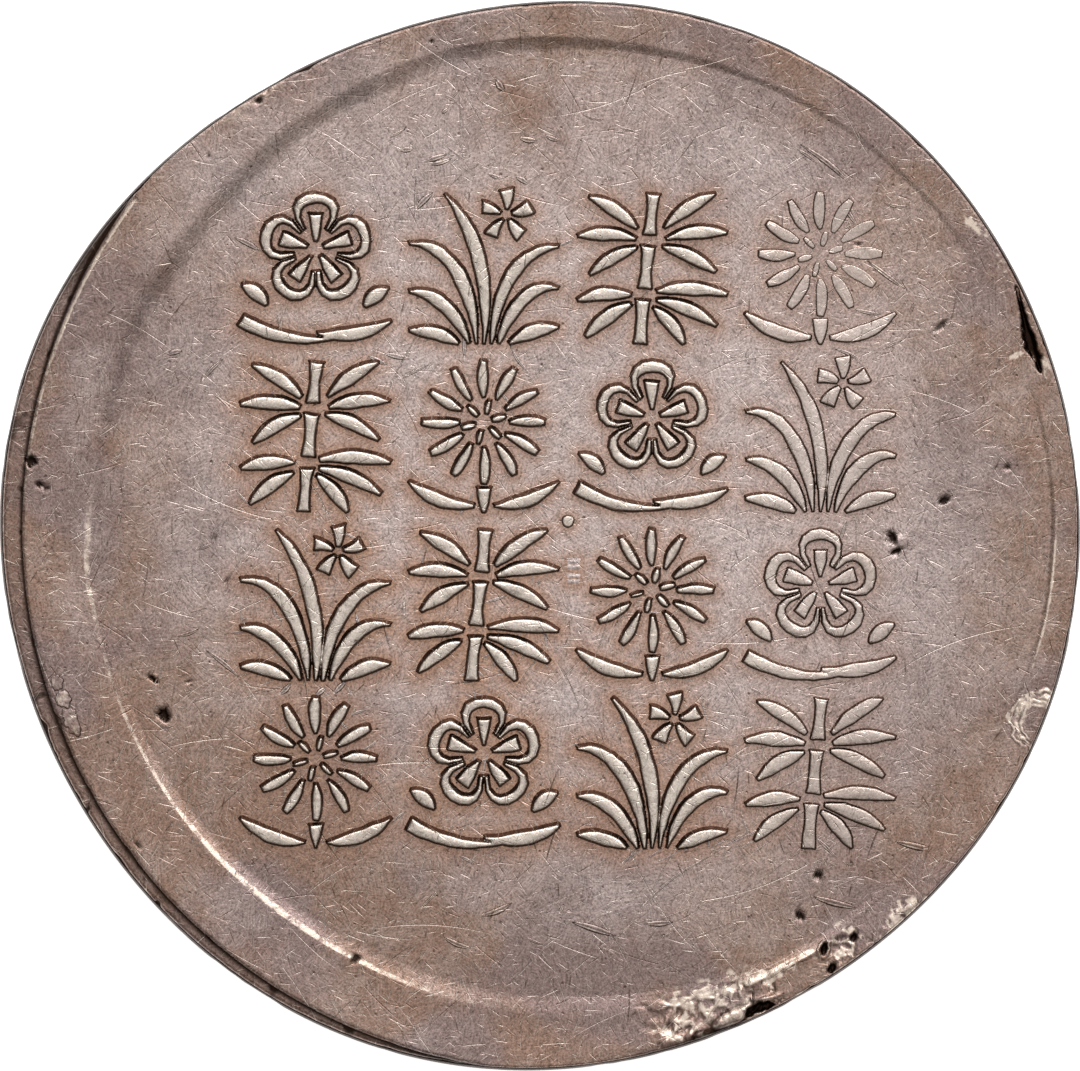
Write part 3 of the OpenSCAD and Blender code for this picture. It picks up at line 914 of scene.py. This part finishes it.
def add_reverse_rim(material):
    """Rim of the back: a slope down from the field and a flat foot with rounded shoulders."""
    angle = round_turns(BACK_RIM_SECTIONS)
    outer = outline_r(angle) - EDGE_SETBACK
    inner = BACK_FIELD_R + 0.12 * layered_noise(5 * np.cos(angle), 5 * np.sin(angle), pitch=3.0, seed=91)
    start, crest = inner - 0.2, inner + 0.5
    climb, foot = np.linspace(0, 1, 16), np.sin(np.linspace(0, 1, 17)[1:] * math.pi / 2)
    r = np.hstack((start + (crest - start) * climb, crest + (outer - crest) * foot))
    up = ease(np.concatenate((climb, np.ones(len(foot)))), 0, 1)
    waves = 0.01 * layered_noise(r * np.cos(angle), r * np.sin(angle), pitch=1.8, seed=95) * up
    z = np.maximum((BACK_Z + 0.01) * (1 - up) + shoulder_drop(outer, r, 0.2) + waves, 0)
    high = BACK_Z + 0.25
    r, z = close_section(r, z, (outer, BACK_Z + 0.01), (outer - 0.3, high), (start, high))
    return add_ring("back_rim", (0, 0), angle, r, z, "reverse_rim", material)


# Materials
def srgb(r, g, b):
    """Screen colour from 0 to 255 as linear light, with full alpha."""
    c = np.array((r, g, b)) / 255
    linear = np.where(c <= 0.04045, c / 12.92, ((c + 0.055) / 1.055) ** 2.4)
    return (*linear.tolist(), 1.0)


# Colours of cuts with their glints and shadows, specks, rubbed metal and painted highlights, soiling and
# painted shade, haloes, and the relief's flanks, partly painted shade, and crests
FRESH_CUT_AND_GLINT = srgb(240, 228, 218)
OLD_CUT_AND_SHADOW = srgb(84, 62, 50)
SPECK = srgb(62, 44, 36)
BARE_METAL_AND_HIGHLIGHT = srgb(232, 216, 202)
DIRT_AND_SHADE = srgb(30, 18, 11)
BROWN = srgb(164, 126, 102)
FLANK_TARNISH_AND_SHADE = srgb(80, 58, 45)
CREST = srgb(202, 191, 181)


def put(tree, socket, value):
    """Links an output to a socket, or sets the socket's own value."""
    if isinstance(value, bpy.types.NodeSocket):
        tree.links.new(value, socket)
    else:
        socket.default_value = value


def calc(tree, operation, a, b=0.0, c=0.0, clamp=False):
    """One step of arithmetic on up to three values."""
    node = tree.nodes.new("ShaderNodeMath")
    node.operation = operation
    node.use_clamp = clamp
    for socket, value in zip(node.inputs, (a, b, c)):
        put(tree, socket, value)
    return node.outputs[0]


def remap(tree, value, low, high, to_low=0.0, to_high=1.0):
    """Smooth step between two limits."""
    node = tree.nodes.new("ShaderNodeMapRange")
    node.interpolation_type = "SMOOTHSTEP"
    for socket, v in zip(node.inputs, (value, low, high, to_low, to_high)):
        put(tree, socket, v)
    return node.outputs[0]


def tint(tree, share, a, b, blend="MIX"):
    """Colour a with a share of colour b blended in."""
    node = tree.nodes.new("ShaderNodeMix")
    node.data_type = "RGBA"
    node.blend_type = blend
    put(tree, node.inputs[0], share)
    put(tree, node.inputs[6], a)
    put(tree, node.inputs[7], b)
    return node.outputs[2]


def noise(tree, vector, scale, detail=2.0, roughness=0.5):
    """Cloudy noise from 0 to 1; the scale counts its waves to the millimetre."""
    node = tree.nodes.new("ShaderNodeTexNoise")
    put(tree, node.inputs["Vector"], vector)
    put(tree, node.inputs["Scale"], scale)
    put(tree, node.inputs["Detail"], detail)
    put(tree, node.inputs["Roughness"], roughness)
    return node.outputs[0]


def vector_math(tree, operation, a, b):
    """One step of arithmetic on two vectors."""
    node = tree.nodes.new("ShaderNodeVectorMath")
    node.operation = operation
    put(tree, node.inputs[0], a)
    put(tree, node.inputs[1], b)
    return node.outputs[0]


def stored(tree, name, output="Fac"):
    """Value kept on the mesh under that name, 0 where there is none."""
    node = tree.nodes.new("ShaderNodeAttribute")
    node.attribute_name = name
    return node.outputs[output]


def new_group(name, inputs, outputs):
    """Empty node group with named sockets: its tree, what it is given and what it puts out."""
    tree = bpy.data.node_groups.new(name, "ShaderNodeTree")
    for key, kind in inputs.items():
        tree.interface.new_socket(key, in_out="INPUT", socket_type="NodeSocket" + kind)
    for key, kind in outputs.items():
        tree.interface.new_socket(key, in_out="OUTPUT", socket_type="NodeSocket" + kind)
    return tree, tree.nodes.new("NodeGroupInput").outputs, tree.nodes.new("NodeGroupOutput").inputs


def use_group(tree, group, **values):
    """Places a node group with its own values and gives its outputs."""
    node = tree.nodes.new("ShaderNodeGroup")
    node.node_tree = group
    for key, value in values.items():
        put(tree, node.inputs[key], value)
    return node.outputs


def random_cells(tree, vector, density):
    """Cells of a random pattern: the pattern's outputs, and three chances that are fixed for each cell."""
    cells = tree.nodes.new("ShaderNodeTexVoronoi")
    cells.voronoi_dimensions = "2D"
    put(tree, cells.inputs["Vector"], vector)
    put(tree, cells.inputs["Scale"], density)
    chances = tree.nodes.new("ShaderNodeSeparateColor")
    put(tree, chances.inputs[0], cells.outputs["Color"])
    return cells.outputs, chances.outputs


def turned(tree, vector, chance):
    """Vector turned in the plane by a chance from 0 to 1 of a full circle."""
    node = tree.nodes.new("ShaderNodeVectorRotate")
    node.rotation_type = "Z_AXIS"
    put(tree, node.inputs["Vector"], vector)
    put(tree, node.inputs["Angle"], calc(tree, "MULTIPLY", chance, 2 * math.pi))
    return node.outputs[0]


def hairline_group():
    """Short scratches: one in each cell of a random pattern, turned at random and of random strength."""
    tree, given, result = new_group(
        "Hairlines",
        {"Vector": "Vector", "Density": "Float", "Length": "Float", "Width": "Float"},
        {"Mask": "Float"},
    )
    cells, chances = random_cells(tree, given["Vector"], given["Density"])
    local = vector_math(tree, "SUBTRACT", given["Vector"], cells["Position"])
    parts = tree.nodes.new("ShaderNodeSeparateXYZ")
    put(tree, parts.inputs[0], turned(tree, local, chances[0]))
    x, y = parts.outputs[0], parts.outputs[1]
    bent = calc(tree, "MULTIPLY_ADD", calc(tree, "MULTIPLY", x, x), 0.05, y)
    across = remap(tree, calc(tree, "ABSOLUTE", bent), given["Width"], 0.0)
    along = remap(tree, calc(tree, "ABSOLUTE", x), given["Length"], 0.0)
    weight = calc(tree, "POWER", chances[1], 2.0)
    put(tree, result["Mask"], calc(tree, "MULTIPLY", calc(tree, "MULTIPLY", across, along), weight))
    return tree


def brush_group():
    """Faint parallel hairlines in patches: stretched noise, turned at random in each cell of a pattern."""
    tree, given, result = new_group("Brushing", {"Vector": "Vector", "Density": "Float"}, {"Mask": "Float"})
    _, chances = random_cells(tree, given["Vector"], given["Density"])
    stretched = vector_math(tree, "MULTIPLY", turned(tree, given["Vector"], chances[0]), (1.8, 17.0, 1.0))
    put(tree, result["Mask"], noise(tree, stretched, scale=1.0, detail=1.0))
    return tree


# Hairline layers: shift of the pattern, cells per millimetre, half length and half width, strength
BRIGHT_LINES = (
    (3.1, 3.4, 0.16, 0.028, 0.55),
    (13.3, 2.6, 0.24, 0.026, 0.7),
    (17.9, 1.8, 0.36, 0.028, 0.9),
    (23.5, 1.0, 0.70, 0.028, 1.0),
    (7.7, 0.40, 1.8, 0.026, 1.3),
    (29.3, 0.20, 4.0, 0.026, 1.5),
)
DARK_LINES = ((11.3, 2.2, 0.22, 0.030, 0.7), (41.7, 1.2, 0.45, 0.034, 1.0), (53.3, 0.5, 1.4, 0.032, 1.0))


def wear_group(hairlines, brushing):
    """Wear over a plane in millimetres: toning clouds, grain, dark specks and scratches of all sizes."""
    masks = ("Clouds", "Patches", "Grain", "Specks", "Bright", "Dark", "Brushed")
    tree, given, result = new_group("Surface wear", {"Vector": "Vector"}, dict.fromkeys(masks, "Float"))
    p = given["Vector"]
    clouds = noise(tree, p, scale=0.11, detail=3.0)
    patches = noise(tree, p, scale=0.7, detail=5.0, roughness=0.6)
    put(tree, result["Clouds"], remap(tree, clouds, 0.35, 0.65))
    put(tree, result["Patches"], remap(tree, patches, 0.35, 0.68))
    put(tree, result["Grain"], noise(tree, p, scale=13.0, detail=2.0, roughness=0.6))
    specks, chances = random_cells(tree, p, 1.3)
    size = calc(tree, "MULTIPLY", calc(tree, "POWER", chances[0], 4.0), 0.12)
    put(tree, result["Specks"], remap(tree, specks["Distance"], size, 0.0))

    def scratches(layers):
        total = 0.0
        for shift, density, length, width, strength in layers:
            moved = vector_math(tree, "ADD", p, (shift, -2.3 * shift, 0.0))
            lines = use_group(tree, hairlines, Vector=moved, Density=density, Length=length, Width=width)
            total = calc(tree, "MULTIPLY_ADD", lines["Mask"], strength, total)
        return calc(tree, "MINIMUM", total, 1.0)

    brushed = [use_group(tree, brushing, Vector=p, Density=density)["Mask"] for density in (0.9, 1.7)]
    put(tree, result["Brushed"], calc(tree, "ADD", *brushed))
    put(tree, result["Bright"], scratches(BRIGHT_LINES))
    put(tree, result["Dark"], scratches(DARK_LINES))
    return tree


def toned_colour(tree, flat, worn, cool, warm, violet):
    """Tarnish, with painted light in the stored toning: cool and warm tones in clouds, with brown haloes
    round the relief.
    """
    mottle = calc(tree, "MULTIPLY_ADD", worn["Clouds"], 0.3, -0.3)
    mottle = calc(tree, "MULTIPLY_ADD", worn["Patches"], 0.3, mottle)
    hue = remap(tree, noise(tree, flat, scale=0.22, detail=3.0), 0.42, 0.62, 0.0, 0.7)
    warm = tint(tree, hue, warm, violet)
    colour = tint(tree, calc(tree, "ADD", stored(tree, "tone_and_painted_light"), mottle, clamp=True), cool, warm)
    ring = tint(tree, calc(tree, "MULTIPLY", stored(tree, "tone_and_painted_light"), 0.7), BROWN, warm)
    return tint(tree, calc(tree, "MULTIPLY", stored(tree, "halo"), 0.9), colour, ring)


def relief_colour(tree, flat, colour):
    """Struck relief: pale crests, toned where the strike is weak or dull, over steep flanks painted dark,
    partly tarnish and partly painted shade.
    """
    weak = remap(tree, stored(tree, "strike"), 0.95, 0.65, 0.0, 0.6)
    dull = remap(tree, noise(tree, flat, scale=1.9, detail=4.0, roughness=0.7), 0.42, 0.66, 0.0, 0.35)
    colour = tint(tree, calc(tree, "MAXIMUM", weak, dull), CREST, colour)
    return tint(tree, stored(tree, "steep"), colour, FLANK_TARNISH_AND_SHADE)


def worn_colour(tree, flat, worn, colour, grain_share):
    """Grain, scratches partly painted as glints and shadows, specks, rubbed places and painted highlights,
    and soiling and painted shade, laid over a colour in that order.
    """
    grain = calc(tree, "MULTIPLY_ADD", worn["Brushed"], 0.95, -0.9)
    grain = calc(tree, "MULTIPLY_ADD", worn["Grain"], 1.9, grain)
    shade = tree.nodes.new("ShaderNodeCombineXYZ")
    for socket in shade.inputs:
        put(tree, socket, grain)
    colour = tint(tree, grain_share, colour, shade.outputs[0], "MULTIPLY")
    broken = calc(tree, "MULTIPLY_ADD", noise(tree, flat, scale=2.6, detail=5.0, roughness=0.75), 2.6, -0.8)
    # Rubbed metal, and painted highlights where the rim's shoulder and crest catch the light
    bare_and_highlight = remap(tree, calc(tree, "MULTIPLY", stored(tree, "rub"), broken), 0.12, 0.5)
    # The bright and dark scratch lines are partly painted glints and painted shadows
    layers = (
        (worn["Bright"], 0.6, FRESH_CUT_AND_GLINT),
        (worn["Dark"], 0.5, OLD_CUT_AND_SHADOW),
        (worn["Specks"], 0.7, SPECK),
        (bare_and_highlight, 0.8, BARE_METAL_AND_HIGHLIGHT),
        (stored(tree, "soil"), 0.97, DIRT_AND_SHADE),
    )
    for mask, share, laid in layers:
        colour = tint(tree, calc(tree, "MULTIPLY", mask, share), colour, laid)
    return colour


def silver(name, wear, cool, warm, violet, roughness, relief=False):
    """Toned silver: tarnish, wear and soiling over plain metal, with painted highlights and painted shade
    among them, and its grain and scratches as bumps.
    """
    material = bpy.data.materials.new(name)
    material.use_nodes = True
    tree = material.node_tree
    shader = tree.nodes["Principled BSDF"]
    flat = stored(tree, "flat", "Vector")
    worn = use_group(tree, wear, Vector=flat)
    colour = toned_colour(tree, flat, worn, cool, warm, violet)
    if relief:
        colour = relief_colour(tree, flat, colour)
    colour = worn_colour(tree, flat, worn, colour, 0.5 if relief else 1.0)
    put(tree, shader.inputs["Base Color"], colour)
    put(tree, shader.inputs["Metallic"], 1.0)
    put(tree, shader.inputs["Roughness"], calc(tree, "MULTIPLY_ADD", worn["Grain"], 0.16, roughness))
    cut = calc(tree, "ADD", calc(tree, "ADD", worn["Bright"], worn["Dark"]), worn["Specks"])
    bump = tree.nodes.new("ShaderNodeBump")
    put(tree, bump.inputs["Height"], calc(tree, "SUBTRACT", calc(tree, "MULTIPLY", worn["Grain"], 0.4), cut))
    put(tree, bump.inputs["Strength"], 0.8)
    put(tree, bump.inputs["Distance"], 0.02 * MM)
    put(tree, shader.inputs["Normal"], bump.outputs[0])
    return material


def add_light(name, place, width, depth, power):
    """Soft light panel at a place, turned towards the middle of the face."""
    data = bpy.data.lights.new(name, "AREA")
    data.shape = "RECTANGLE"
    data.size = width
    data.size_y = depth
    data.energy = power
    lamp = bpy.data.objects.new(name, data)
    lamp.location = place
    lamp.rotation_mode = "QUATERNION"
    lamp.rotation_quaternion = (-Vector(place)).to_track_quat("-Z", "Y")
    lamp.visible_camera = False
    bpy.context.scene.collection.objects.link(lamp)


wear = wear_group(hairline_group(), brush_group())
face_tones = srgb(187, 172, 169), srgb(140, 115, 102), srgb(133, 117, 117)
shelf_tones = srgb(172, 152, 145), srgb(130, 107, 97), srgb(124, 106, 102)
field_silver = silver("Field silver", wear, *face_tones, roughness=0.34)
rim_silver = silver("Rim silver", wear, *face_tones, roughness=0.36)
ledge_silver = silver("Ledge silver", wear, *shelf_tones, roughness=0.40)
relief_silver = silver("Relief silver", wear, *face_tones, roughness=0.30, relief=True)

# Pieces, the relief first because the field takes its haloes from it
motifs = ("plum", "orchid", "bamboo", "chrysanthemum")
for node in sorted(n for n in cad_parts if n.split("_")[0] in motifs):
    add_relief(node, relief_silver)
add_relief("compass_mark", relief_silver, lower=2.2, upper=1.2)
add_relief("layout_ticks", field_silver, lower=0.16, upper=0.12)
add_field(field_silver)
add_scratches(field_silver)
add_obverse_rim(rim_silver)
add_flakes(rim_silver)
add_ledge(ledge_silver)
add_edge(rim_silver)
add_back_field(field_silver)
add_reverse_rim(rim_silver)

# Floor, light and camera
bpy.ops.mesh.primitive_plane_add(size=2.0, location=(0, 0, -0.01 * MM))
floor = bpy.context.object
floor.name = "floor"
paper = bpy.data.materials.new("White paper")
paper.use_nodes = True
finish = paper.node_tree.nodes["Principled BSDF"].inputs
finish["Base Color"].default_value = (0.9, 0.9, 0.9, 1)
finish["Roughness"].default_value = 0.9
finish["Emission Color"].default_value = (1, 1, 1, 1)
finish["Emission Strength"].default_value = 0.8
floor.data.materials.append(paper)

scene = bpy.context.scene
scene.view_settings.view_transform = "Standard"
world = bpy.data.worlds.new("Studio")
world.use_nodes = True
backdrop = world.node_tree.nodes["Background"].inputs
backdrop["Color"].default_value = (1.0, 0.93, 0.84, 1)
backdrop["Strength"].default_value = 0.25
scene.world = world
add_light("key", (0.03, 0.10, 0.45), width=0.70, depth=0.70, power=1.235)
add_light("strip", (0.08, 0.39, 0.30), width=0.70, depth=0.22, power=2.62)

lens = bpy.data.cameras.new("Copy stand")
lens.lens = 400
lens.sensor_width = 36
camera = bpy.data.objects.new("Copy stand", lens)
centre_x = (cad_low.x + cad_high.x) / 2
centre_y = (cad_low.y + cad_high.y) / 2
girth_level = 1.6 * MM
frame_width = (cad_high.x - cad_low.x) * 1.001
camera.location = (centre_x, centre_y, girth_level + frame_width * lens.lens / lens.sensor_width)
scene.collection.objects.link(camera)
scene.camera = camera
